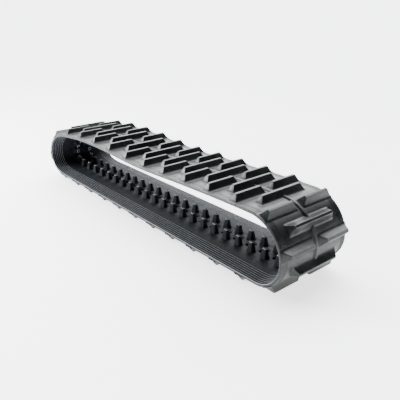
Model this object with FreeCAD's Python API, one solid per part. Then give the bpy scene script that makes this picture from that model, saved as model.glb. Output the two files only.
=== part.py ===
import FreeCAD, Part
import os
from math import ceil, cos, degrees, floor, pi, radians, sin

from FreeCAD import Matrix, Placement, Vector

# A steel-cored rubber track, standing on its lower run as it does in a store.
# Millimetres. X runs along the track, Y across it and Z up.
# The origin is on the ground, under the middle of the loop.

# Overall sizes
BELT_WIDTH = 450.0
LINK_PITCH = 90.0
LINK_COUNT = 52  # an even number: side bars and centre bars take turns

# Side view of the relaxed loop, measured at the cord line
NEAR_LOWER_RADIUS = 136.0
NEAR_UPPER_RADIUS = 186.0
FAR_UPPER_RADIUS = 250.0
FAR_LIFT_RADIUS = 354.0
NEAR_DROP_TURN = 2.9  # degrees down from the near crown into the sag
FAR_RISE_TURN = 3.6  # degrees up from the sag to the far crown
FAR_DROP_TURN = 7.8  # degrees down from the far crown to the far bend
FAR_UPPER_TURN = 43.0  # degrees the far bend turns before it tightens
FAR_LIFT_TURN = 15.6  # degrees the lower run lifts before the far bend
CROWN_SHARE = 0.37  # how the upper run's length is shared by its three curves
SAG_SHARE = 0.25
BAR_ROW_LEAD = 104.0  # from the first row of side bars to the near bend

# Thickness of the belt, as depths from its outer face
TREAD_DEPTH = 9.0
PLY_THICKNESS = 2.0
CORD_BELT_THICKNESS = 3.0
BELT_THICKNESS = 30.0
EDGE_LIP = 3.0  # inner rubber over the outer rubber, along the thin edges
PLY_DEPTH = TREAD_DEPTH + PLY_THICKNESS
CORD_LINE_DEPTH = PLY_DEPTH + CORD_BELT_THICKNESS / 2
EDGE_THICKNESS = PLY_DEPTH + EDGE_LIP

# Across the belt
PLY_MARGIN = 25.0  # rubber between the ply and the belt's edge
EDGE_BAND_WIDTH = 8.0  # the thin band along each edge
EDGE_RISE_WIDTH = 77.0  # the slope from that band up to the wheel path
OUTER_CHAMFER = 5.0
INNER_CHAMFER = 1.5
HALF_WIDTH = BELT_WIDTH / 2
PLY_HALF_WIDTH = HALF_WIDTH - PLY_MARGIN
EDGE_BAND_INNER = HALF_WIDTH - EDGE_BAND_WIDTH
WHEEL_PATH_OUTER = EDGE_BAND_INNER - EDGE_RISE_WIDTH
WHEEL_PATH_INNER = 65.0
HORN_STRIP_DROP = 1.0  # the belt's middle lies this far below the wheel paths
CORD_BELT_INNER = 64.0
CORD_BELT_OUTER = WHEEL_PATH_OUTER + 2

# Tread bars
BAR_HEIGHT = 35.0
BAR_TOP_LENGTH = 14.0
BAR_BASE_LENGTH = 48.0
BAR_END_SLOPE = 21.0
BAR_ROOT = 6.0  # how far a bar's foot reaches into the belt
SIDE_BAR_GAP = 46.0
SIDE_BAR_MARGIN = 7.0  # from a side bar's foot to the belt's edge
CENTRE_BAR_BASE = 0.65 * BELT_WIDTH
TIE_RIB_HEIGHT = 9.0
TIE_RIB_BASE = 22.0
TIE_RIB_TOP = 10.0

# Steel cores
CORE_BEDDING = 2.0  # rubber between the cord belts and the cores
CORE_COVER = PLY_DEPTH + CORD_BELT_THICKNESS + CORE_BEDDING
WING_THICKNESS = 7.0
WING_HALF_SPAN = WHEEL_PATH_OUTER - 8
WING_ROOT_LENGTH = 36.0
WING_TIP_LENGTH = 24.0
BOSS_HALF_SPAN = 62.0
BOSS_LENGTH = 38.0
BOSS_RELIEF = 1.0  # the boss stands this far out of the wing's outer face
BOSS_THICKNESS = 10.0

# Guide horns, which the cores carry and the carcass covers
HORN_OFFSET = 46.0
HORN_HEIGHT = 50.0  # over the wheel path
HORN_SKIN = 3.5  # rubber over the horn's tip
HORN_BASE = (43.0, 34.0)
HORN_TIP = (25.0, 17.0)
HORN_STEEL_BASE = (34.0, 24.0)
HORN_STEEL_TIP = (17.0, 9.0)
HORN_FOOT = 2.0  # overlap that the belt's face then trims, so that the foot fits in a bend

# Sprocket pockets, half way between cores
POCKET_LENGTH = 0.4 * LINK_PITCH
POCKET_WIDTH = 50.0
POCKET_DEPTH = 14.0

# Where the slack upper run bends, counted in links
FLEX_LINE = 7.5
LEAF_LINKS = 6
FLEX_SLIT = 1.5

LOOP_LENGTH = LINK_PITCH * LINK_COUNT


class Arc:
    """A stretch of the loop's side view: an arc, or a line where curve is 0."""

    def __init__(self, start, heading, length, curve):
        self.start = start
        self.heading = heading
        self.length = length
        self.curve = curve

    def at(self, distance):
        """The point and heading this far along, on the X-Z plane."""
        heading = self.heading + distance * self.curve
        if self.curve == 0:
            step = Vector(distance * cos(heading), 0, distance * sin(heading))
            return self.start + step, heading
        radius = 1 / self.curve
        across = radius * (sin(heading) - sin(self.heading))
        up = radius * (cos(self.heading) - cos(heading))
        return self.start + Vector(across, 0, up), heading


def turn_step(heading, turn):
    """Where a left turn of radius 1 leads, for a turn in radians."""
    return (sin(heading + turn) - sin(heading), cos(heading) - cos(heading + turn))


def solve_loop():
    """Close the loop at its exact length, by the length of its two runs and the far bend's radius."""
    near = radians(90)
    drop = radians(NEAR_DROP_TURN)
    rise = radians(FAR_RISE_TURN)
    fall = radians(FAR_DROP_TURN)
    upper_turn = radians(FAR_UPPER_TURN)
    lift = radians(FAR_LIFT_TURN)
    far_share = 1 - CROWN_SHARE - SAG_SHARE
    # name, turn in radians, and its size: a radius, or a share of the upper run
    stretches = [
        ("fixed", near, NEAR_LOWER_RADIUS),
        ("fixed", near, NEAR_UPPER_RADIUS),
        ("upper", drop, CROWN_SHARE),
        ("upper", -(drop + rise), SAG_SHARE),
        ("upper", rise + fall, far_share),
        ("fixed", upper_turn, FAR_UPPER_RADIUS),
        ("far", pi - fall - upper_turn - lift, 1.0),
        ("fixed", lift, FAR_LIFT_RADIUS),
    ]
    upper = [0.0, 0.0, 0.0]
    far = [0.0, 0.0, 0.0]
    rest = [0.0, 0.0, -LOOP_LENGTH]
    heading = 0.0
    for kind, turn, size in stretches:
        step = turn_step(heading, turn)
        if kind == "fixed":
            values = (size * step[0], size * step[1], size * turn)
            total = rest
        elif kind == "upper":
            values = (size / turn * step[0], size / turn * step[1], size)
            total = upper
        else:
            values = (step[0], step[1], turn)
            total = far
        for i in range(3):
            total[i] += values[i]
        heading += turn
    # lower * (1, 0, 1) + run * upper + radius * far + rest = 0
    upper_gap = upper[2] - upper[0]
    far_gap = far[2] - far[0]
    rest_gap = rest[2] - rest[0]
    size = upper[1] * far_gap - far[1] * upper_gap
    run = (far[1] * rest_gap - rest[1] * far_gap) / size
    radius = (rest[1] * upper_gap - upper[1] * rest_gap) / size
    lower = -(run * upper[0] + radius * far[0] + rest[0])
    start = Vector(0, 0, BAR_HEIGHT + CORD_LINE_DEPTH)
    arcs = [Arc(start, 0.0, lower, 0.0)]
    for kind, turn, size in stretches:
        if kind == "upper":
            length = size * run
        else:
            length = abs(turn) * (radius if kind == "far" else size)
        point, heading = arcs[-1].at(arcs[-1].length)
        arcs.append(Arc(point, heading, length, turn / length))
    return arcs


def station(arcs, distance):
    """The point and heading this far round the loop."""
    left = distance % LOOP_LENGTH
    for arc in arcs[:-1]:
        if left <= arc.length:
            return arc.at(left)
        left -= arc.length
    return arcs[-1].at(left)


def place_at(point, heading):
    """The local frame at a point with a heading."""
    frame = Matrix()
    frame.A11, frame.A31 = cos(heading), sin(heading)
    frame.A13, frame.A33 = -sin(heading), cos(heading)
    frame.A14, frame.A34 = point.x, point.z
    return Placement(frame)


def place(arcs, distance):
    """A local frame on the cord line: X along the belt, Y across it, Z to the inside of the loop."""
    point, heading = station(arcs, distance)
    return place_at(point, heading)


def core_distance(index):
    """How far round the loop core number index lies. Even numbers lie under side bars."""
    return LOOP[0].length - BAR_ROW_LEAD + LINK_PITCH * index


def centre_loop(arcs):
    """Move the loop along X until its bars' and belt's outermost points are centred."""
    reach = []
    tip = CORD_LINE_DEPTH + BAR_HEIGHT
    first = arcs[0].length - BAR_ROW_LEAD
    for index in range(LINK_COUNT):
        frame = place(arcs, first + LINK_PITCH * index)
        for side in (-1, 1):
            corner = frame.multVec(Vector(side * BAR_TOP_LENGTH / 2, 0, -tip))
            reach.append(corner.x)
    middle = (min(reach) + max(reach)) / 2
    for arc in arcs:
        arc.start = arc.start - Vector(middle, 0, 0)


def polygon_face(points):
    """A flat face from its corners."""
    return Part.Face(Part.makePolygon(points + [points[0]]))


def section(outline, frame):
    """A cross-section of the belt from (across, depth) corners, set at a frame."""
    corners = [Vector(0, y, depth - CORD_LINE_DEPTH) for y, depth in outline]
    return polygon_face([frame.multVec(corner) for corner in corners])


def band(outline, begin, end):
    """One solid: a cross-section carried round the loop from one distance to another."""
    pieces = []
    spans = []
    for lap in (0, 1):
        first = lap * LOOP_LENGTH
        for arc in LOOP:
            spans.append((first, arc))
            first += arc.length
    for first, arc in spans:
        low = max(begin, first)
        high = min(end, first + arc.length)
        if high - low < 1e-3:
            continue
        point, heading = arc.at(low - first)
        face = section(outline, place_at(point, heading))
        if arc.curve == 0:
            forward = Vector(cos(heading), 0, sin(heading))
            pieces.append(face.extrude(forward * (high - low)))
            continue
        centre = point + Vector(-sin(heading), 0, cos(heading)) * (1 / arc.curve)
        turn = degrees((high - low) * arc.curve)
        pieces.append(face.revolve(centre, Vector(0, -1, 0), turn))
    return join(pieces)


def join(shapes):
    """One solid from shapes that touch or overlap."""
    whole = shapes[0]
    if len(shapes) > 1:
        whole = shapes[0].fuse(shapes[1:])
    solids = whole.Solids
    if len(solids) != 1:
        raise ValueError(f"{len(solids)} solids where one was meant")
    return solids[0]


def frustum(base, tip, low, high, across=0.0):
    """A block with sloping sides between two (length, width) rectangles at two depths."""
    rings = []
    for (length, width), depth in ((base, low), (tip, high)):
        corners = []
        for along, side in ((-1, -1), (1, -1), (1, 1), (-1, 1)):
            y = across + side * width / 2
            corners.append(Vector(along * length / 2, y, depth - CORD_LINE_DEPTH))
        rings.append(corners)
    faces = [polygon_face(rings[0]), polygon_face(rings[1])]
    for i in range(4):
        j = (i + 1) % 4
        faces.append(polygon_face([rings[0][i], rings[0][j], rings[1][j], rings[1][i]]))
    return Part.Solid(Part.Shell(faces))


def block(length, half_width, low, high):
    """A box about the belt's centre line between two depths."""
    corner = Vector(-length / 2, -half_width, low - CORD_LINE_DEPTH)
    return Part.makeBox(length, 2 * half_width, high - low, corner)


def placed(shape, distance):
    """A copy of a local shape, set round the loop."""
    copy = shape.copy()
    copy.transformShape(place(LOOP, distance).toMatrix())
    return copy


def tread_outline():
    """Cross-section of the outer rubber, with the tie rib along its middle."""
    rib = [(TIE_RIB_BASE / 2, 0), (TIE_RIB_TOP / 2, -TIE_RIB_HEIGHT)]
    edge = [
        (PLY_HALF_WIDTH, TREAD_DEPTH),
        (PLY_HALF_WIDTH, PLY_DEPTH),
        (HALF_WIDTH, PLY_DEPTH),
        (HALF_WIDTH, OUTER_CHAMFER),
        (HALF_WIDTH - OUTER_CHAMFER, 0),
    ]
    right = edge + rib
    left = [(-y, depth) for y, depth in reversed(right)]
    return right + left


def carcass_outline():
    """Cross-section of the inner rubber, open where the two cord belts lie."""
    groove = PLY_DEPTH + CORD_BELT_THICKNESS
    right = [
        (CORD_BELT_INNER, PLY_DEPTH),
        (CORD_BELT_INNER, groove),
        (CORD_BELT_OUTER, groove),
        (CORD_BELT_OUTER, PLY_DEPTH),
        (HALF_WIDTH, PLY_DEPTH),
        (HALF_WIDTH, EDGE_THICKNESS - INNER_CHAMFER),
        (HALF_WIDTH - INNER_CHAMFER, EDGE_THICKNESS),
        (EDGE_BAND_INNER, EDGE_THICKNESS + INNER_CHAMFER),
        (WHEEL_PATH_OUTER, BELT_THICKNESS),
        (WHEEL_PATH_INNER, BELT_THICKNESS),
        (WHEEL_PATH_INNER, BELT_THICKNESS - HORN_STRIP_DROP),
    ]
    left = [(-y, depth) for y, depth in reversed(right)]
    return right + left


def strip_outline(inner, outer, low, high):
    """Cross-section of a flat strip between two distances across and two depths."""
    return [(inner, low), (outer, low), (outer, high), (inner, high)]


def tread_bar(width, across):
    """One tread bar with its foot in the belt. The width is that of its foot at the belt's face."""
    flank = (BAR_BASE_LENGTH - BAR_TOP_LENGTH) / 2 / BAR_HEIGHT
    end = BAR_END_SLOPE / BAR_HEIGHT
    foot = (BAR_BASE_LENGTH + 2 * flank * BAR_ROOT, width + 2 * end * BAR_ROOT)
    top = (BAR_TOP_LENGTH, width - 2 * BAR_END_SLOPE)
    return frustum(foot, top, BAR_ROOT, -BAR_HEIGHT, across)


def bar_row(index):
    """The bars on one core: a left and a right one on even cores, a centre one on odd cores."""
    if index % 2:
        return [tread_bar(CENTRE_BAR_BASE, 0.0)]
    outer = HALF_WIDTH - SIDE_BAR_MARGIN
    inner = SIDE_BAR_GAP / 2
    middle = (outer + inner) / 2
    return [tread_bar(outer - inner, side * middle) for side in (-1, 1)]


def steel_core():
    """One forged core: a boss that the sprocket pushes, two wings and two guide horns."""
    low = CORE_COVER
    high = CORE_COVER + WING_THICKNESS
    outline = []
    for side in (-1, 1):
        outline.append((WING_TIP_LENGTH / 2 * side, WING_HALF_SPAN * side))
        outline.append((-WING_TIP_LENGTH / 2 * side, WING_HALF_SPAN * side))
        outline.append((-WING_ROOT_LENGTH / 2 * side, BOSS_HALF_SPAN * side))
        outline.append((-WING_ROOT_LENGTH / 2 * side, -BOSS_HALF_SPAN * side))
    corners = [Vector(x, y, low - CORD_LINE_DEPTH) for x, y in outline]
    wings = polygon_face(corners).extrude(Vector(0, 0, high - low))
    top = CORE_COVER - BOSS_RELIEF
    pieces = [wings, block(BOSS_LENGTH, BOSS_HALF_SPAN, top, top + BOSS_THICKNESS)]
    tip = BELT_THICKNESS + HORN_HEIGHT - HORN_SKIN
    for side in (-1, 1):
        pieces.append(frustum(HORN_STEEL_BASE, HORN_STEEL_TIP, high, tip, side * HORN_OFFSET))
    return join(pieces)


def horn_cover(side):
    """The rubber over one guide horn, before its foot and the steel's hollow are cut."""
    low = BELT_THICKNESS - HORN_FOOT
    high = BELT_THICKNESS + HORN_HEIGHT
    return frustum(HORN_BASE, HORN_TIP, low, high, side * HORN_OFFSET)


def sprocket_pocket():
    """The space between two cores that a sprocket tooth enters."""
    deep = BELT_THICKNESS - POCKET_DEPTH
    return block(POCKET_LENGTH, POCKET_WIDTH / 2, deep, BELT_THICKNESS + HORN_FOOT)


def stretch_limits(first, last, slit_first, slit_last):
    """Where a stretch from one half link to another begins and ends, less any flex slit."""
    begin = core_distance(first) + (FLEX_SLIT / 2 if slit_first else 0)
    end = core_distance(last) - (FLEX_SLIT / 2 if slit_last else 0)
    return begin, end


def cores_between(first, last):
    """The core numbers between two half links."""
    return range(ceil(first), floor(last) + 1)


def make_tread(limits, cores):
    """Outer rubber of one stretch, with its bars."""
    bars = [placed(bar, core_distance(k)) for k in cores for bar in bar_row(k)]
    return join([band(tread_outline(), *limits)] + bars)


def make_carcass(limits, cores, core, pockets):
    """Inner rubber of one stretch, with its sprocket pockets and the cores' hollows."""
    body = band(carcass_outline(), *limits)
    body = body.cut([placed(sprocket_pocket(), core_distance(p)) for p in pockets])
    body = body.cut([placed(core, core_distance(k)) for k in cores])
    if len(body.Solids) != 1:
        raise ValueError("the carcass came apart")
    return body.Solids[0]


def make_horns(limits, cores, core):
    """Rubber covers of one stretch's guide horns: on the wheel path, round the cores' steel horns."""
    covers = [placed(horn_cover(side), core_distance(k)) for k in cores for side in (-1, 1)]
    tools = [band(carcass_outline(), *limits)] + [placed(core, core_distance(k)) for k in cores]
    whole = Part.makeCompound(covers).cut(tools)
    if len(whole.Solids) != len(covers):
        raise ValueError(f"{len(whole.Solids)} horn covers where {len(covers)} were meant")
    return whole


def pockets_between(first, last):
    """Half links that hold a pocket. One on a stretch's end is cut in both neighbours."""
    count = int(round(last - first))
    return [first + i for i in range(count + 1)]


def save(name, shape):
    """Write one node."""
    if not shape.isValid():
        raise ValueError(f"{name} is not valid")
    shape.exportStep(os.path.join("parts", name + ".step"))
    print(f"{name}: {len(shape.Solids)} solids, {shape.Volume / 1000:.0f} cm3")


os.makedirs("parts", exist_ok=True)
LOOP = solve_loop()
centre_loop(LOOP)

# Stretches of belt, in half links round the loop from the near bend
upper_start = FLEX_LINE
middle_start = upper_start + LEAF_LINKS
far_leaf_start = middle_start + LEAF_LINKS
far_bend_start = far_leaf_start + LEAF_LINKS
near_bend_start = 0.5
lap = LINK_COUNT + near_bend_start
ground_start = ceil((LOOP_LENGTH - core_distance(0)) / LINK_PITCH) + 0.5
STRETCHES = {
    "near_bend": (near_bend_start, upper_start, False, True),
    "upper_near": (upper_start, middle_start, True, True),
    "upper_middle": (middle_start, far_leaf_start, True, True),
    "upper_far": (far_leaf_start, far_bend_start, True, True),
    "far_bend": (far_bend_start, ground_start, True, False),
    "lower_run": (ground_start, lap, False, False),
}
# The inlays run unbroken through the bends and the lower run
INLAYS = {
    "lower": (far_bend_start, LINK_COUNT + upper_start, True, True),
    "upper_near": STRETCHES["upper_near"],
    "upper_middle": STRETCHES["upper_middle"],
    "upper_far": STRETCHES["upper_far"],
}

core_shape = steel_core()

for name, stretch in STRETCHES.items():
    ends = stretch_limits(*stretch)
    numbers = cores_between(stretch[0], stretch[1])
    save("tread_" + name, make_tread(ends, numbers))
    pockets = pockets_between(stretch[0], stretch[1])
    save("carcass_" + name, make_carcass(ends, numbers, core_shape, pockets))
    save("guide_horns_" + name, make_horns(ends, numbers, core_shape))

for name, stretch in INLAYS.items():
    ends = stretch_limits(*stretch)
    ply = strip_outline(-PLY_HALF_WIDTH, PLY_HALF_WIDTH, TREAD_DEPTH, PLY_DEPTH)
    save("breaker_ply_" + name, band(ply, *ends))
    for side, sign in (("left", -1), ("right", 1)):
        edges = sorted((sign * CORD_BELT_INNER, sign * CORD_BELT_OUTER))
        cords = strip_outline(*edges, PLY_DEPTH, PLY_DEPTH + CORD_BELT_THICKNESS)
        save(f"cord_belt_{side}_{name}", band(cords, *ends))

# Cores in twos: one under side bars and the next, under a centre bar
for pair in range(LINK_COUNT // 2):
    first = ceil(upper_start) + 2 * pair
    cores = [placed(core_shape, core_distance(first + i)) for i in (0, 1)]
    save(f"steel_cores_{pair + 1:02d}", Part.makeCompound(cores))

# Hinge lines and mounts, for the record
print(f"far bend radius {1 / LOOP[7].curve:.1f}, lower run {LOOP[0].length:.1f}")
HINGE_LINES = {
    "near_crown": upper_start,
    "upper_near": middle_start,
    "open_line": far_leaf_start,
    "far_crown": far_bend_start,
}
for name, half_link in HINGE_LINES.items():
    point, heading = station(LOOP, core_distance(half_link))
    print(f"{name}: x {point.x:.3f} z {point.z:.3f} heading {degrees(heading):.3f}")
first_bars, heading = station(LOOP, core_distance(0))
print(f"first bars x {first_bars.x:.3f}")
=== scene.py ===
"""The look of a steel-cored rubber track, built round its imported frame."""

import logging
import math
from dataclasses import dataclass
from enum import Enum
from functools import cached_property
from typing import Any, Sequence

import bmesh
import bpy
import numpy as np
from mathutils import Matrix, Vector


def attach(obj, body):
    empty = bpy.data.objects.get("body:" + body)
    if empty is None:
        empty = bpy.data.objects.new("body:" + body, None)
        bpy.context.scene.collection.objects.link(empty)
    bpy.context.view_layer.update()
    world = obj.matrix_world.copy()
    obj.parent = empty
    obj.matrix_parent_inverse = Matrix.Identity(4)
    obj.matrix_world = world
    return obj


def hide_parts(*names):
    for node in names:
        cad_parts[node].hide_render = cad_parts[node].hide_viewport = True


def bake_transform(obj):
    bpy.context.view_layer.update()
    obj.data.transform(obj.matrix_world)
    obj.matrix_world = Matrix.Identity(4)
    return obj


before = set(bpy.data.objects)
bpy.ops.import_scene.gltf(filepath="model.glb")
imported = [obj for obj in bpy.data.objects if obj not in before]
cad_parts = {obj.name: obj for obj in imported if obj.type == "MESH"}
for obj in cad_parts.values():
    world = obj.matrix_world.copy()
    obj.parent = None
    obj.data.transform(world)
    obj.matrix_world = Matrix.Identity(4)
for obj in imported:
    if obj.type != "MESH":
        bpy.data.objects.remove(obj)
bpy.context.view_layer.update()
LOG = logging.getLogger("rubber_track")
MM = 0.001
BELT_BODY = "lower_run_and_bends"
# a belt stretch's end face has more corners than this, and every other flat face has fewer
BELT_END_CORNERS = 40
QUAD_CORNERS = 4


# Shader building


class Wire:
    """A shader socket that takes part in arithmetic like a number."""

    def __init__(self, paint: "Paint", socket: bpy.types.NodeSocket) -> None:
        """Keep a socket with the paint that its nodes are added to."""
        self.paint = paint
        self.socket = socket

    def __add__(self, other: Any) -> "Wire":
        """This plus another value."""
        return self.paint.math("ADD", self, other)

    def __radd__(self, other: Any) -> "Wire":
        """A value plus this."""
        return self.paint.math("ADD", other, self)

    def __sub__(self, other: Any) -> "Wire":
        """This minus another value."""
        return self.paint.math("SUBTRACT", self, other)

    def __rsub__(self, other: Any) -> "Wire":
        """A value minus this."""
        return self.paint.math("SUBTRACT", other, self)

    def __mul__(self, other: Any) -> "Wire":
        """This times another value."""
        return self.paint.math("MULTIPLY", self, other)

    def __rmul__(self, other: Any) -> "Wire":
        """A value times this."""
        return self.paint.math("MULTIPLY", other, self)


class Paint:
    """A material or a world, and the nodes that make it."""

    def __init__(self, owner: bpy.types.ID, output: str = "ShaderNodeOutputMaterial") -> None:
        """Start with nothing but an output.

        Args:
            owner: The material or world.
            output: The type of its output node.
        """
        owner.use_nodes = True
        self.owner = owner
        self.tree = owner.node_tree
        self.tree.nodes.clear()
        self.output = self.tree.nodes.new(output)

    def node(
        self, kind: str, settings: dict[str, Any], inputs: dict[Any, Any], output: Any = 0
    ) -> Wire:
        """Add one node.

        Args:
            kind: The node's type.
            settings: Properties, set first. "stops" gives a ramp's positions and colours.
            inputs: Values or wires, by the socket's name or number.
            output: The socket that leaves the node.

        Returns:
            The node's output.
        """
        made = self.tree.nodes.new(kind)
        for key, value in settings.items():
            if key == "stops":
                self._set_stops(made.color_ramp, value)
            else:
                setattr(made, key, value)
        for key, value in inputs.items():
            if isinstance(value, Wire):
                self.tree.links.new(value.socket, made.inputs[key])
            else:
                made.inputs[key].default_value = value
        return Wire(self, made.outputs[output])

    @staticmethod
    def _set_stops(ramp: bpy.types.ColorRamp, stops: Sequence[tuple[float, float]]) -> None:
        """Give a ramp its grey stops."""
        while len(ramp.elements) < len(stops):
            ramp.elements.new(0.5)
        for element, (position, grey) in zip(ramp.elements, stops):
            element.position = position
            element.color = (grey, grey, grey, 1)

    def math(self, operation: str, *values: Any) -> Wire:
        """Add a Math node on these values."""
        return self.node("ShaderNodeMath", {"operation": operation}, dict(enumerate(values)))

    def dot(self, vector: Wire, other: tuple[float, float, float]) -> Wire:
        """How far a vector goes along another."""
        settings = {"operation": "DOT_PRODUCT"}
        return self.node("ShaderNodeVectorMath", settings, {0: vector, 1: other}, "Value")

    def place(self) -> Wire:
        """Where the surface is, in metres."""
        return self.node("ShaderNodeTexCoord", {}, {}, "Object")

    def stretched(self, place: Wire, scale: tuple[float, float, float]) -> Wire:
        """A position with each axis multiplied."""
        return self.node("ShaderNodeVectorMath", {"operation": "MULTIPLY"}, {0: place, 1: scale})

    def noise(self, place: Wire, scale: float, detail: float = 3, rough: float = 0.55) -> Wire:
        """Soft noise between 0 and 1."""
        values = {"Vector": place, "Scale": scale, "Detail": detail, "Roughness": rough}
        return self.node("ShaderNodeTexNoise", {}, values)

    def ramp(self, factor: Wire, *stops: tuple[float, float]) -> Wire:
        """A factor put through grey stops."""
        return self.node("ShaderNodeValToRGB", {"stops": stops}, {"Fac": factor})

    def mix(self, factor: Any, first: Any, second: Any) -> Wire:
        """Two colours mixed by a factor."""
        values = {0: factor, 6: first, 7: second}
        return self.node("ShaderNodeMix", {"data_type": "RGBA"}, values, 2)

    def bump(self, height: Wire, strength: float, distance: float, under: Any = None) -> Wire:
        """A normal from heights, over another normal if one is given."""
        values = {"Height": height, "Strength": strength, "Distance": distance}
        if under is not None:
            values["Normal"] = under
        return self.node("ShaderNodeBump", {}, values)

    def finish(self, **values: Any) -> bpy.types.Material:
        """Close the material with a Principled shader.

        Args:
            values: Its sockets by name, with _ for each space.

        Returns:
            The material.
        """
        named = {key.replace("_", " "): value for key, value in values.items()}
        self.close(self.node("ShaderNodeBsdfPrincipled", {}, named))
        return self.owner

    def close(self, shader: Wire) -> None:
        """Send a shader to the output."""
        self.tree.links.new(shader.socket, self.output.inputs[0])


Colour = tuple[float, float, float, float]


@dataclass(frozen=True)
class RubberFinish:
    """Moulded black rubber: a little bloom, crests lightened by scuff and painted highlight, and a
    grained skin.
    """

    name: str
    deep: Colour
    bloom: Colour
    # the colour of scuff, also used as painted highlight on crests and rim lines
    scuff_highlight_colour: Colour
    gloss: float
    shine: float
    bloom_share: float
    # how far crests and rim lines go towards that scuff and painted highlight colour
    scuff_highlight_share: float
    line_share: float = 0.16

    def material(self) -> bpy.types.Material:
        """Build the rubber's shader."""
        paint = Paint(bpy.data.materials.new(self.name))
        place = paint.place()
        cloud = paint.noise(place, scale=7.0, detail=4)
        patch = paint.noise(place, scale=38.0, detail=5, rough=0.62)
        streak = paint.noise(paint.stretched(place, (1.0, 9.0, 4.0)), scale=16.0, detail=4)
        grain = paint.noise(place, scale=900.0, detail=2)
        pebble = paint.noise(place, scale=240.0, detail=3)
        crest = paint.node("ShaderNodeAttribute", {"attribute_name": "crest"}, {}, "Fac")
        dusty = paint.ramp(cloud * 0.45 + patch * 0.55, (0.40, 0.0), (0.68, 1.0))
        colour = paint.mix(dusty * self.bloom_share, self.deep, self.bloom)
        lines = paint.ramp(streak, (0.56, 0.0), (0.66, 1.0))
        colour = paint.mix(lines * self.line_share, colour, self.bloom)
        # crests and rim lines go towards the scuff colour: partly scuff, partly painted highlight
        scuff_highlight_mask = paint.ramp(crest * (0.55 + patch * 0.9), (0.32, 0.0), (0.92, 1.0))
        colour = paint.mix(scuff_highlight_mask * crest * self.scuff_highlight_share, colour, self.scuff_highlight_colour)
        rough = self.gloss + dusty * 0.14 + streak * 0.10 + crest * 0.18
        skin = paint.bump(grain * 0.6 + pebble * 0.4, strength=0.30, distance=0.0006)
        skin = paint.bump(patch, strength=0.22, distance=0.0035, under=skin)
        return paint.finish(
            Base_Color=colour,
            Roughness=rough,
            Specular_IOR_Level=self.shine,
            Normal=skin,
        )


@dataclass(frozen=True)
class SteelFinish:
    """Forged steel, shot blasted, with scale in its hollows."""

    name: str
    bright: Colour
    scale: Colour

    def material(self) -> bpy.types.Material:
        """Build the steel's shader."""
        paint = Paint(bpy.data.materials.new(self.name))
        place = paint.place()
        pits = paint.noise(place, scale=520.0, detail=4)
        patch = paint.noise(place, scale=45.0, detail=4)
        dull = paint.ramp(patch, (0.38, 0.0), (0.7, 1.0))
        return paint.finish(
            Base_Color=paint.mix(dull, self.bright, self.scale),
            Metallic=0.95 - dull * 0.5,
            Roughness=0.42 + dull * 0.22 + pits * 0.1,
            Normal=paint.bump(pits, strength=0.5, distance=0.0008),
        )


class Lay(Enum):
    """Which way the cords of an inlay run, as multipliers of X and Y for their stripes."""

    ALONG = (0.0, 1.0, 0.0)
    BIAS = (0.7, 0.7, 0.0)


@dataclass(frozen=True)
class CordFinish:
    """Cords side by side in rubber."""

    name: str
    cord: Colour
    between: Colour
    metal: float
    spacing: float
    lay: Lay

    def material(self) -> bpy.types.Material:
        """Build the cords' shader."""
        paint = Paint(bpy.data.materials.new(self.name))
        turned = paint.stretched(paint.place(), self.lay.value)
        across = paint.dot(turned, (1, 1, 1))
        wave = paint.math("SINE", across * (2 * math.pi / self.spacing))
        ridge = paint.ramp(wave * 0.5 + 0.5, (0.2, 0.0), (0.7, 1.0))
        strand = paint.noise(paint.place(), scale=420.0, detail=2)
        return paint.finish(
            Base_Color=paint.mix(ridge, self.between, self.cord),
            Metallic=ridge * self.metal,
            Roughness=0.62 - ridge * 0.22 + strand * 0.1,
            Normal=paint.bump(ridge + strand * 0.3, strength=0.6, distance=0.001),
        )


# The loop's side view


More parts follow.
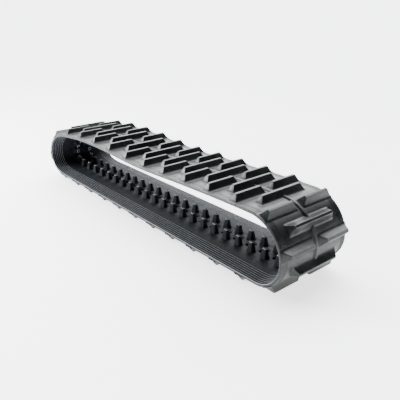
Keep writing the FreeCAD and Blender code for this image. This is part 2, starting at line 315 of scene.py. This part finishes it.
@dataclass(frozen=True)
class Loop:
    """The cord line of the relaxed track, a closed chain of arcs, in millimetres."""

    pitch: float = 90.0
    links: int = 52
    cord_depth: float = 12.5
    bar_height: float = 35.0
    bar_top_length: float = 14.0
    bar_row_lead: float = 104.0
    near_lower_radius: float = 136.0
    near_upper_radius: float = 186.0
    far_upper_radius: float = 250.0
    far_lift_radius: float = 354.0
    near_drop_turn: float = 2.9
    far_rise_turn: float = 3.6
    far_drop_turn: float = 7.8
    far_upper_turn: float = 43.0
    far_lift_turn: float = 15.6
    crown_share: float = 0.37
    sag_share: float = 0.25

    @property
    def length(self) -> float:
        """Length round the cord line."""
        return self.pitch * self.links

    @cached_property
    def arcs(self) -> np.ndarray:
        """The arcs as rows of x, z, heading, length and curve, closed at the loop's length."""
        quarter, lift = math.pi / 2, math.radians(self.far_lift_turn)
        drop, rise = math.radians(self.near_drop_turn), math.radians(self.far_rise_turn)
        fall, top = math.radians(self.far_drop_turn), math.radians(self.far_upper_turn)
        far_share = 1 - self.crown_share - self.sag_share
        # the unknown that sizes each arc, its turn, and its length for a size of 1
        parts = (
            (3, quarter, self.near_lower_radius * quarter),
            (3, quarter, self.near_upper_radius * quarter),
            (1, drop, self.crown_share),
            (1, -drop - rise, self.sag_share),
            (1, rise + fall, far_share),
            (3, top, self.far_upper_radius * top),
            (2, math.pi - fall - top - lift, math.pi - fall - top - lift),
            (3, lift, self.far_lift_radius * lift),
        )
        sums = np.zeros((4, 3))
        sums[0] = (1, 0, 1)
        heading = 0.0
        for unknown, turn, size in parts:
            ahead = heading + turn
            radius = size / turn
            step = (math.sin(ahead) - math.sin(heading), math.cos(heading) - math.cos(ahead))
            sums[unknown] += (radius * step[0], radius * step[1], size)
            heading = ahead
        sums[3, 2] -= self.length
        sizes = np.append(np.linalg.solve(sums[:3].T, -sums[3]), 1.0)
        rows = [(0.0, self.bar_height + self.cord_depth, 0.0, sizes[0], 0.0)]
        for unknown, turn, size in parts:
            (x, z), heading = self._along(np.array(rows[-1]), rows[-1][3])
            length = size * sizes[unknown]
            rows.append((x, z, heading, length, turn / length))
        return np.array(rows)

    @staticmethod
    def _along(row: np.ndarray, distance: float) -> tuple[tuple[float, float], float]:
        """The point and heading this far along one arc."""
        x, z, heading, _, curve = row
        if curve == 0:
            return (x + distance * math.cos(heading), z + distance * math.sin(heading)), heading
        ahead = heading + distance * curve
        return (
            x + (math.sin(ahead) - math.sin(heading)) / curve,
            z + (math.cos(heading) - math.cos(ahead)) / curve,
        ), ahead

    @cached_property
    def shift(self) -> float:
        """How far the loop moves along X so that its outermost bars are centred."""
        reach = []
        for index in range(self.links):
            x, _, heading = self._raw(self.core(index))
            tip = self.cord_depth + self.bar_height
            for side in (-0.5, 0.5):
                corner = x + side * self.bar_top_length * math.cos(heading)
                reach.append(corner + tip * math.sin(heading))
        return -(min(reach) + max(reach)) / 2

    def core(self, index: float) -> float:
        """How far round the loop a core lies. Even cores lie under side bars."""
        return self.arcs[0, 3] - self.bar_row_lead + self.pitch * index

    def _raw(self, distance: float) -> tuple[float, float, float]:
        """The point and heading this far round, before the loop is centred."""
        left = distance % self.length
        for row in self.arcs[:-1]:
            if left <= row[3]:
                break
            left -= row[3]
        else:
            row = self.arcs[-1]
        (x, z), heading = self._along(row, left)
        return x, z, heading

    def stations(self, distances: np.ndarray) -> tuple[np.ndarray, np.ndarray, np.ndarray]:
        """Points, forward directions and directions to the loop's inside.

        Args:
            distances: How far round the loop each station is.

        Returns:
            Three arrays of X, Y, Z rows, in millimetres.
        """
        raw = np.array([self._raw(value) for value in distances])
        zero = np.zeros(len(raw))
        heading = raw[:, 2]
        points = np.stack([raw[:, 0] + self.shift, zero, raw[:, 1]], axis=1)
        forward = np.stack([np.cos(heading), zero, np.sin(heading)], axis=1)
        inward = np.stack([-np.sin(heading), zero, np.cos(heading)], axis=1)
        return points, forward, inward

    def point(self, core: float) -> Vector:
        """The cord line's point at a core, in metres."""
        return Vector(self.stations(np.array([self.core(core)]))[0][0] * MM)


# Mesh building


class Shell:
    """The vertices and faces of one piece, gathered from closed parts."""

    def __init__(self) -> None:
        """Start with nothing."""
        self.points: list[np.ndarray] = []
        self.crest: list[np.ndarray] = []
        self.faces: list[list[int]] = []
        self.count = 0

    def loft(self, rings: np.ndarray, crest: np.ndarray) -> None:
        """Add a closed part from rings of points.

        Args:
            rings: Points by ring and place, in millimetres.
            crest: How much scuff and painted highlight each ring or point gets, from 0. Painted
                highlight lines on the rims pass 1.
        """
        rows, columns = rings.shape[:2]
        index = self.count + np.arange(rows * columns).reshape(rows, columns)
        after = np.roll(index, -1, axis=1)
        quads = np.stack([index[:-1], after[:-1], after[1:], index[1:]], axis=-1)
        self.faces.extend(quads.reshape(-1, 4).tolist())
        self.faces.append(index[0][::-1].tolist())
        self.faces.append(index[-1].tolist())
        self.points.append(rings.reshape(-1, 3))
        self.crest.append(np.broadcast_to(crest, (rows, columns)).ravel())
        self.count += rows * columns

    def piece(self, name: str, material: bpy.types.Material, slot: str) -> bpy.types.Object:
        """Make the object.

        Args:
            name: The piece's name.
            material: Its finish.
            slot: The record's material slot. It is not used.

        Returns:
            A smooth-shaded object with its normals outward.
        """
        mesh = bpy.data.meshes.new(name)
        points = np.concatenate(self.points) * MM
        mesh.from_pydata(points.tolist(), [], self.faces)
        crest = mesh.attributes.new("crest", "FLOAT", "POINT")
        crest.data.foreach_set("value", np.concatenate(self.crest).astype(np.float32))
        work = bmesh.new()
        work.from_mesh(mesh)
        bmesh.ops.recalc_face_normals(work, faces=work.faces)
        for face in work.faces:
            face.smooth = len(face.verts) <= QUAD_CORNERS
            if len(face.verts) > BELT_END_CORNERS:
                for edge in face.edges:
                    edge.smooth = False
        work.to_mesh(mesh)
        work.free()
        mesh.materials.append(material)
        made = bpy.data.objects.new(name, mesh)
        bpy.context.scene.collection.objects.link(made)
        LOG.info("%s: %d faces", name, len(mesh.polygons))
        return made


def rounded_rectangle(length: float, width: float, radius: float, steps: int = 4) -> np.ndarray:
    """Points round a rectangle with round corners, as (along, across) rows."""
    flat = 0.1  # the least straight half side that is left
    radius = min(radius, length / 2 - flat, width / 2 - flat)
    points = []
    for quarter, (along, side) in enumerate(((1, 1), (-1, 1), (-1, -1), (1, -1))):
        for step in range(steps + 1):
            angle = math.pi / 2 * (quarter + step / steps)
            x = along * (length / 2 - radius) + radius * math.cos(angle)
            y = side * (width / 2 - radius) + radius * math.sin(angle)
            points.append((x, y))
    return np.array(points)


@dataclass(frozen=True)
class Lug:
    """A tapered block moulded on the belt, with a filleted foot and soft crests."""

    length: float
    width: float
    top_length: float
    top_width: float
    height: float
    fillet: float
    crest_radius: float
    foot_corner: float
    top_corner: float
    across: float
    outside: bool
    root_depth: float = 0.8
    root_spread: float = 2.0
    foot_spread: float = 0.75
    bent_fillets: float = 1.6
    foot_shares: tuple[float, ...] = (0.0, 0.03, 0.1, 0.22, 0.4, 0.65, 1.0)
    flank_shares: tuple[float, ...] = (0.33, 0.66, 1.0)
    crest_shares: tuple[float, ...] = (0.6, 0.3, 0.1, 0.0)
    crest_start: float = 0.2
    top_start: float = 0.95
    # scuff and painted highlight on the flat top
    top_scuff_highlight: float = 0.25

    def levels(self) -> list[float]:
        """Heights of the rings, from under the belt's face to the top."""
        foot = [self.fillet * share for share in self.foot_shares]
        free = self.height - self.crest_radius - self.fillet
        flank = [self.fillet + free * share for share in self.flank_shares]
        crest = [self.height - self.crest_radius * share for share in self.crest_shares]
        return [-self.root_depth] + foot + flank + crest

    def over(self, height: float) -> float:
        """How far up the rounded crest a height is: 0 at its start, 1 at the top."""
        return (height - self.height + self.crest_radius) / self.crest_radius

    def scuff_highlight_at(self, height: float) -> float:
        """How much scuff and painted highlight a ring gets: most on the rounded crest, a little on
        the flat top.
        """
        over = self.over(height)
        if over >= self.top_start:
            return self.top_scuff_highlight
        # the rounded crest gets full scuff and a painted edge highlight
        return 1.0 if over > self.crest_start else 0.0

    def outline(self, height: float) -> np.ndarray:
        """The ring at one height, as (along, across) rows."""
        share = height / self.height
        length = self.length + (self.top_length - self.length) * share
        width = self.width + (self.top_width - self.width) * share
        grow = 0.0
        if height < self.fillet:
            left = 1 - max(height, 0.0) / self.fillet
            grow = self.foot_spread * self.fillet * (1 - math.sqrt(1 - left * left))
        if height < 0:
            grow += self.root_spread
        over = self.over(height)
        if over > 0:
            grow -= self.crest_radius * (1 - math.sqrt(max(0.0, 1 - over * over)))
        corner = self.foot_corner + (self.top_corner - self.foot_corner) * share + max(grow, 0)
        return rounded_rectangle(length + 2 * grow, width + 2 * grow, corner)

    def add_to(self, shell: Shell, loop: Loop, core: int, surface: float) -> None:
        """Mould the block on the belt.

        Args:
            shell: The piece that it becomes part of.
            loop: The track's side view.
            core: The core that it sits on.
            surface: Depth of the belt's face there.
        """
        distance = loop.core(core)
        point, forward, inward = (row[0] for row in loop.stations(np.array([distance])))
        out = -1.0 if self.outside else 1.0
        rings, crest = [], []
        for height in self.levels():
            ring = self.outline(height)
            rise = surface - loop.cord_depth + out * height
            along, across = ring[:, 0], ring[:, 1] + self.across
            flat = point + along[:, None] * forward + rise * inward
            spots, _, normals = loop.stations(distance + along)
            bent = spots + rise * normals
            stiff = min(1.0, max(0.0, height / (self.bent_fillets * self.fillet)))
            placed = bent + (flat - bent) * stiff
            placed[:, 1] = across
            rings.append(placed)
            crest.append(self.scuff_highlight_at(height))
        shell.loft(np.array(rings), np.array(crest)[:, None])


@dataclass(frozen=True)
class Stretch:
    """A stretch of belt between two half links, and what it rides on."""

    name: str
    first: float
    last: float
    stands_for: tuple[str, ...]
    bodies: tuple[str, ...]
    bend: tuple[float, float] = (0.0, 0.0)

    @property
    def cores(self) -> range:
        """The cores on the stretch."""
        return range(math.ceil(self.first), math.floor(self.last) + 1)

    def attach(self, piece: bpy.types.Object, loop: Loop, *prefixes: str) -> None:
        """Tie a piece to its body, or bake it in place where it spans two bodies, and let it stand
        for its CAD nodes.

        Args:
            piece: The finished piece.
            loop: The track's side view.
            prefixes: The starts of the CAD nodes' names.
        """
        if len(self.bodies) == 2:
            start, end = (loop.point(core) for core in self.bend)
            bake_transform(piece)
        else:
            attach(piece, self.bodies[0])
        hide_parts(*(f"{start}_{node}" for start in prefixes for node in self.stands_for))


def stretches(loop: Loop) -> list[Stretch]:
    """The belt's four stretches. Three of them reach across a hinge where the slack upper run
    flexes.
    """
    near, middle, gap, far = 7.5, 13.5, 19.5, 25.5  # the three hinges and the open line
    spread = 1  # how many links a bend reaches to each side of its hinge
    crown_end = near + 3
    lower = BELT_BODY
    return [
        Stretch(
            name=lower,
            first=far + spread,
            last=loop.links + near - spread,
            stands_for=("near_bend", "lower_run", "far_bend"),
            bodies=(lower,),
        ),
        Stretch(
            name="near_crown",
            first=near - spread,
            last=crown_end,
            stands_for=("near_bend", "upper_near"),
            bodies=(lower, "upper_near"),
            bend=(near - spread, near + spread),
        ),
        Stretch(
            name="upper_run",
            first=crown_end,
            last=gap,
            stands_for=("upper_near", "upper_middle"),
            bodies=("upper_near", "upper_middle"),
            bend=(middle - spread, middle + spread),
        ),
        Stretch(
            name="far_crown",
            first=gap,
            last=far + spread,
            stands_for=("upper_far", "far_bend"),
            bodies=("upper_far", lower),
            bend=(far - spread, far + spread),
        ),
    ]


def mirrored(half: Sequence[tuple[float, float, float]]) -> np.ndarray:
    """Rows of (across, depth, crest) over the whole width, from those of its right half."""
    rows = np.array(half)
    left = rows[::-1] * (-1, 1, 1)
    keep = left[:-1] if rows[0, 0] == 0 else left
    return np.concatenate([keep, rows])


def fine_ribs(
    inner: float, outer: float, spacing: float, rise: float
) -> list[tuple[float, float]]:
    """Fine moulded ribs side by side, as (across, rise) points."""
    points = []
    for count in range(int((outer - inner) / spacing)):
        start = inner + count * spacing
        shape = ((0.0, 0.0), (0.4, 0.0), (0.47, rise), (0.53, rise), (0.6, 0.0))
        points += [(start + spacing * share, height) for share, height in shape]
    return points + [(outer, 0.0)]


# rows of (across, depth, crest); crest is scuff and painted highlight, and above 1 a painted
# highlight line
Profile = tuple[tuple[float, float, float], ...]


@dataclass(frozen=True)
class OuterRubber:
    """The outer half of the belt, with its tread bars and tie rib."""

    loop: Loop
    finish: bpy.types.Material
    half_width: float = 225.0
    ply_half_width: float = 200.0
    ply_top: float = 9.0
    parting: float = 11.0
    bar_base: float = 48.0
    centre_bar: float = 292.5
    side_gap: float = 46.0
    side_margin: float = 7.0
    end_slope: float = 21.0
    step: float = 10.0
    # the tie rib's top edge gets scuff and painted highlight
    tie_rib: Profile = (
        (0.0, -9.0, 0.2),
        (3.6, -9.0, 0.3),
        (4.8, -8.6, 0.9),
        (5.6, -7.6, 0.7),
        (8.2, -3.4, 0.0),
        (9.9, -1.2, 0.0),
        (11.6, -0.3, 0.0),
        (14.5, 0.0, 0.0),
    )
    face: tuple[float, ...] = (40.0, 80.0, 120.0, 150.0, 178.0)
    ribbed: tuple[float, float] = (184.0, 214.0)
    rib_spacing: float = 7.5
    rib_rise: float = 0.9
    # scuff and painted highlight on the fine ribs' tops
    rib_scuff_highlight: float = 0.45
    # the parting bead's crests above 1 paint a highlight line along the rim
    edge: Profile = (
        (218.5, 0.2, 0.2),
        (221.5, 1.4, 0.6),
        (223.8, 3.6, 0.6),
        (224.8, 6.0, 0.2),
        (225.0, 8.5, 0.0),
        (225.0, 10.2, 0.0),
        (225.7, 10.7, 2.6),
        (225.5, 11.0, 1.5),
    )

    def section(self) -> np.ndarray:
        """The closed cross-section as (across, depth, crest) rows."""
        ribs = fine_ribs(*self.ribbed, self.rib_spacing, self.rib_rise)
        half = list(self.tie_rib)
        half += [(y, 0.0, 0.0) for y in self.face]
        half += [(y, -rise, rise * self.rib_scuff_highlight) for y, rise in ribs]
        half += self.edge
        inside = [(self.ply_half_width, self.parting), (self.ply_half_width, self.ply_top)]
        inside += [(-y, depth) for y, depth in reversed(inside)]
        under = np.array([(y, depth, 0.0) for y, depth in inside])
        return np.concatenate([mirrored(half), under])

    def bars(self, core: int) -> list[Lug]:
        """The bars on one core: a pair beside the middle, or one across it."""
        side = self.half_width - self.side_margin - self.side_gap / 2
        middle = (self.half_width - self.side_margin + self.side_gap / 2) / 2
        rows = [(self.centre_bar, 0.0)] if core % 2 else [(side, -middle), (side, middle)]
        return [
            Lug(
                length=self.bar_base,
                width=width,
                top_length=self.loop.bar_top_length,
                top_width=width - 2 * self.end_slope,
                height=self.loop.bar_height,
                fillet=9.0,
                crest_radius=2.2,
                foot_corner=5.0,
                top_corner=2.0,
                across=across,
                outside=True,
            )
            for width, across in rows
        ]

    def build(self, stretch: Stretch) -> None:
        """Make one stretch of outer rubber and attach it."""
        shell = Shell()
        first, last = self.loop.core(stretch.first), self.loop.core(stretch.last)
        count = max(2, round((last - first) / self.step))
        distances = np.linspace(first, last, count + 1)
        outline = self.section()
        points, _, inward = self.loop.stations(distances)
        rise = outline[:, 1] - self.loop.cord_depth
        rings = points[:, None, :] + rise[None, :, None] * inward[:, None, :]
        rings[:, :, 1] = outline[:, 0]
        shell.loft(rings, outline[None, :, 2])
        for core in stretch.cores:
            for bar in self.bars(core):
                bar.add_to(shell, self.loop, core, 0.0)
        piece = shell.piece("tread_" + stretch.name, self.finish, "tread_rubber")
        stretch.attach(piece, self.loop, "tread")


@dataclass(frozen=True)
class InnerRubber:
    """The inner half of the belt, with its sprocket pockets and guide horns."""

    loop: Loop
    finish: bpy.types.Material
    half_width: float = 225.0
    thickness: float = 30.0
    strip: float = 29.0
    edge_thickness: float = 14.0
    parting: float = 11.0
    cord_top: float = 14.0
    cord_inner: float = 64.0
    cord_outer: float = 142.0
    pocket_length: float = 36.0
    pocket_half_width: float = 25.0
    pocket_depth: float = 14.0
    core_swell: float = 0.7
    horn_base: tuple[float, float] = (43.0, 34.0)
    horn_tip: tuple[float, float] = (25.0, 17.0)
    horn_height: float = 51.0
    horn_offset: float = 46.0
    rim: tuple[float, ...] = (-3.0, -1.6, -0.6, 0.0, 0.5, 1.1, 2.4)
    drop: tuple[float, ...] = (0.0, 0.02, 0.08, 0.2, 0.72, 0.97, 1.0)
    swell_start: float = 20.0
    swell_run: float = 18.0
    path_inner: float = 65.0
    path_outer: float = 137.0
    path_fade: float = 10.0
    slope_inner: float = 143.0
    slope_outer: float = 217.0
    slope_start: float = 0.6
    slope_end: float = 0.8
    rib_spacing: float = 12.3
    rib_rise: float = 1.3
    # scuff and painted highlight on the fine ribs' tops
    rib_scuff_highlight: float = 0.9
    # the strip edge's crests are scuff and painted highlight
    strip_edge: Profile = (
        (64.6, 29.3, 0.4),
        (65.6, 29.9, 0.5),
        (67.0, 30.0, 0.1),
        (90.0, 30.0, 0.0),
        (115.0, 30.0, 0.0),
        (132.0, 30.0, 0.0),
        (138.0, 29.9, 0.2),
        (141.5, 29.5, 0.3),
    )
    # the rim's crests above 1 paint a highlight line along the carcass edge
    edge: Profile = (
        (219.5, 14.5, 0.2),
        (221.4, 15.3, 2.0),
        (223.2, 15.0, 2.4),
        (224.6, 13.6, 0.8),
        (225.2, 12.4, 0.3),
        (225.4, 11.2, 0.2),
    )

    def across(self) -> np.ndarray:
        """Rows of (across, depth, crest) over the inner face."""
        rim = [self.pocket_half_width - value for value in reversed(self.rim)]
        half = [(y, self.strip, 0.0) for y in [0.0, 12.0] + rim + [46.0, 63.6]]
        half += self.strip_edge
        top = self.thickness - self.slope_start
        run = self.slope_outer - self.slope_inner
        fall = (top - self.edge_thickness - self.slope_end) / run
        ribs = fine_ribs(self.slope_inner, self.slope_outer, self.rib_spacing, self.rib_rise)
        for y, rise in ribs:
            depth = top - fall * (y - self.slope_inner) + rise
            half.append((y, depth, rise * self.rib_scuff_highlight))
        half += self.edge
        return mirrored(half)

    def outer_side(self) -> np.ndarray:
        """Rows of (across, depth, crest) over the hidden face, with the cord belts' beds."""
        right = [(self.half_width, self.parting), (self.cord_outer, self.parting)]
        right += [(self.cord_outer, self.cord_top), (self.cord_inner, self.cord_top)]
        right += [(self.cord_inner, self.parting)]
        left = [(-y, depth) for y, depth in reversed(right)]
        return np.array([(y, depth, 0.0) for y, depth in right + left])

    def distances(self, stretch: Stretch) -> np.ndarray:
        """Where the belt's rings lie: close together round each pocket."""
        near = sorted(self.pocket_length / 2 - value for value in self.rim)
        pitch = self.loop.pitch
        steps = [0.0, 8.0] + near + [29.0, 37.0, pitch / 2]
        steps += [pitch - value for value in reversed(steps[1:-1])]
        links = np.arange(stretch.first, stretch.last)
        rings = [self.loop.core(link) + step for link in links for step in steps]
        return np.array(rings + [self.loop.core(stretch.last)])

    def depth(self, distances: np.ndarray, outline: np.ndarray) -> np.ndarray:
        """Depth of the inner face by ring and place, with pockets and each core's swell."""
        pitch = self.loop.pitch
        phase = (distances - self.loop.core(0.5)) % pitch
        from_pocket = np.minimum(phase, pitch - phase)
        width = np.abs(outline[:, 0])
        inside = np.minimum(
            (self.pocket_length / 2 - from_pocket)[:, None],
            (self.pocket_half_width - width)[None, :],
        )
        cut = np.interp(inside, self.rim, self.drop) * self.pocket_depth
        near_core = np.clip((from_pocket - self.swell_start) / self.swell_run, 0, 1)
        swell = near_core * near_core * (3 - 2 * near_core) * self.core_swell
        path = np.clip((self.path_outer - width) / self.path_fade, 0, 1)
        path = path * (width > self.path_inner)
        return outline[None, :, 1] - cut + swell[:, None] * path[None, :]

    def horn(self, side: int) -> Lug:
        """One guide horn."""
        return Lug(
            *self.horn_base,
            *self.horn_tip,
            height=self.horn_height,
            fillet=5.0,
            crest_radius=4.5,
            foot_corner=9.0,
            top_corner=6.5,
            across=side * self.horn_offset,
            outside=False,
        )

    def build(self, stretch: Stretch) -> None:
        """Make one stretch of inner rubber and attach it."""
        shell = Shell()
        distances = self.distances(stretch)
        inner, outer = self.across(), self.outer_side()
        outline = np.concatenate([inner, outer])
        depth = np.concatenate(
            [self.depth(distances, inner), np.repeat(outer[None, :, 1], len(distances), 0)], axis=1
        )
        points, _, inward = self.loop.stations(distances)
        rise = depth - self.loop.cord_depth
        rings = points[:, None, :] + rise[:, :, None] * inward[:, None, :]
        rings[:, :, 1] = outline[:, 0]
        shell.loft(rings, outline[None, :, 2])
        for core in stretch.cores:
            for side in (-1, 1):
                self.horn(side).add_to(shell, self.loop, core, self.strip)
        piece = shell.piece("carcass_" + stretch.name, self.finish, "carcass_rubber")
        stretch.attach(piece, self.loop, "carcass", "guide_horns")


@dataclass(frozen=True)
class Inlays:
    """The steel and cord inside the rubber. Their shapes are the frame's own."""

    finishes: dict[str, bpy.types.Material]

    def dress(self) -> None:
        """Give every inlay its finish."""
        for name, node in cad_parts.items():
            for prefix, material in self.finishes.items():
                if name.startswith(prefix):
                    node.data.materials.clear()
                    node.data.materials.append(material)
                    LOG.info("%s: %s", name, material.name)


@dataclass(frozen=True)
class Studio:
    """A pale floor, soft light and the camera."""

    eye: tuple[float, float, float] = (2.2445, -1.6286, 1.2303)
    tilt: float = 67.42
    turn: float = 49.84
    lens: float = 44.67
    floor_size: float = 400.0
    floor_glow: float = 2.1
    bright_side: tuple[float, float, float] = (-0.55, 0.42, 0.72)
    bright_spread: tuple[float, float] = (0.62, 0.96)
    sky_colour: Colour = (0.96, 0.98, 1.0, 1)

    def floor(self) -> None:
        """Lay the floor."""
        paint = Paint(bpy.data.materials.new("studio_floor"))
        speck = paint.noise(paint.place(), scale=3.0, detail=3)
        material = paint.finish(
            Base_Color=paint.mix(speck * 0.2, (0.9, 0.9, 0.9, 1), (0.86, 0.86, 0.87, 1)),
            Roughness=0.75 + speck * 0.1,
            Specular_IOR_Level=0.1,
            Emission_Color=(1, 1, 1, 1),
            Emission_Strength=self.floor_glow,
        )
        mesh = bpy.data.meshes.new("floor")
        half = self.floor_size / 2
        corners = [(-half, -half, 0), (half, -half, 0), (half, half, 0), (-half, half, 0)]
        mesh.from_pydata(corners, [], [(0, 1, 2, 3)])
        mesh.materials.append(material)
        made = bpy.data.objects.new("floor", mesh)
        bpy.context.scene.collection.objects.link(made)

    def lamp(
        self,
        name: str,
        place: tuple[float, float, float],
        target: tuple[float, float, float],
        size: float,
        power: float,
    ) -> None:
        """Hang one soft lamp that faces a point on the track."""
        data = bpy.data.lights.new(name, "AREA")
        data.size = size
        data.energy = power
        made = bpy.data.objects.new(name, data)
        made.location = place
        aim = Vector(target) - Vector(place)
        made.rotation_euler = aim.to_track_quat("-Z", "Y").to_euler()
        bpy.context.scene.collection.objects.link(made)

    def sky(self, bright: float, dim: float) -> None:
        """Fill the room with soft white light, bright from one side and dim elsewhere.

        Args:
            bright: The light's strength from the bright side.
            dim: Its strength from everywhere else.
        """
        world = bpy.data.worlds.new("studio")
        paint = Paint(world, "ShaderNodeOutputWorld")
        toward = paint.dot(paint.node("ShaderNodeTexCoord", {}, {}, "Generated"), self.bright_side)
        low, high = self.bright_spread
        strength = paint.node(
            "ShaderNodeMapRange",
            {"interpolation_type": "SMOOTHSTEP"},
            {0: toward, 1: low, 2: high, 3: dim, 4: bright},
        )
        light = {"Color": self.sky_colour, "Strength": strength}
        paint.close(paint.node("ShaderNodeBackground", {}, light))
        bpy.context.scene.world = world

    def camera(self) -> None:
        """Set up the camera."""
        data = bpy.data.cameras.new("camera")
        data.lens = self.lens
        data.sensor_width = 36.0
        made = bpy.data.objects.new("camera", data)
        made.location = self.eye
        made.rotation_euler = (math.radians(self.tilt), 0, math.radians(self.turn))
        bpy.context.scene.collection.objects.link(made)
        bpy.context.scene.camera = made

    def build(self) -> None:
        """Set the whole stage."""
        self.floor()
        self.sky(bright=12.0, dim=0.06)
        self.lamp(
            name="left_lamp", place=(-3.4, -3.0, 1.9), target=(0, 0, 0.2), size=1.8, power=650
        )
        self.camera()


def main() -> None:
    """Build the track and its studio."""
    logging.basicConfig(level=logging.INFO, format="%(message)s")
    loop = Loop()
    tread = RubberFinish(
        name="tread_rubber",
        deep=(0.004, 0.0046, 0.0048, 1),
        bloom=(0.014, 0.0215, 0.0205, 1),
        scuff_highlight_colour=(0.22, 0.23, 0.235, 1),
        gloss=0.30,
        shine=0.3,
        bloom_share=0.6,
        scuff_highlight_share=0.25,
    ).material()
    carcass = RubberFinish(
        name="carcass_rubber",
        deep=(0.003, 0.0034, 0.0044, 1),
        bloom=(0.013, 0.0175, 0.025, 1),
        scuff_highlight_colour=(0.30, 0.32, 0.34, 1),
        gloss=0.58,
        shine=0.12,
        bloom_share=0.6,
        scuff_highlight_share=0.5,
    ).material()
    outer, inner = OuterRubber(loop, tread), InnerRubber(loop, carcass)
    for stretch in stretches(loop):
        outer.build(stretch)
        inner.build(stretch)
    core_steel = SteelFinish(
        name="core_steel", bright=(0.34, 0.34, 0.35, 1), scale=(0.07, 0.068, 0.07, 1)
    ).material()
    cords = CordFinish(
        name="cord_belt",
        cord=(0.62, 0.5, 0.3, 1),
        between=(0.02, 0.02, 0.02, 1),
        metal=0.9,
        spacing=0.0035,
        lay=Lay.ALONG,
    ).material()
    ply = CordFinish(
        name="breaker_ply",
        cord=(0.17, 0.15, 0.12, 1),
        between=(0.025, 0.025, 0.025, 1),
        metal=0.0,
        spacing=0.0018,
        lay=Lay.BIAS,
    ).material()
    Inlays({"steel_cores": core_steel, "cord_belt": cords, "breaker_ply": ply}).dress()
    Studio().build()


if __name__ == "__main__":
    main()
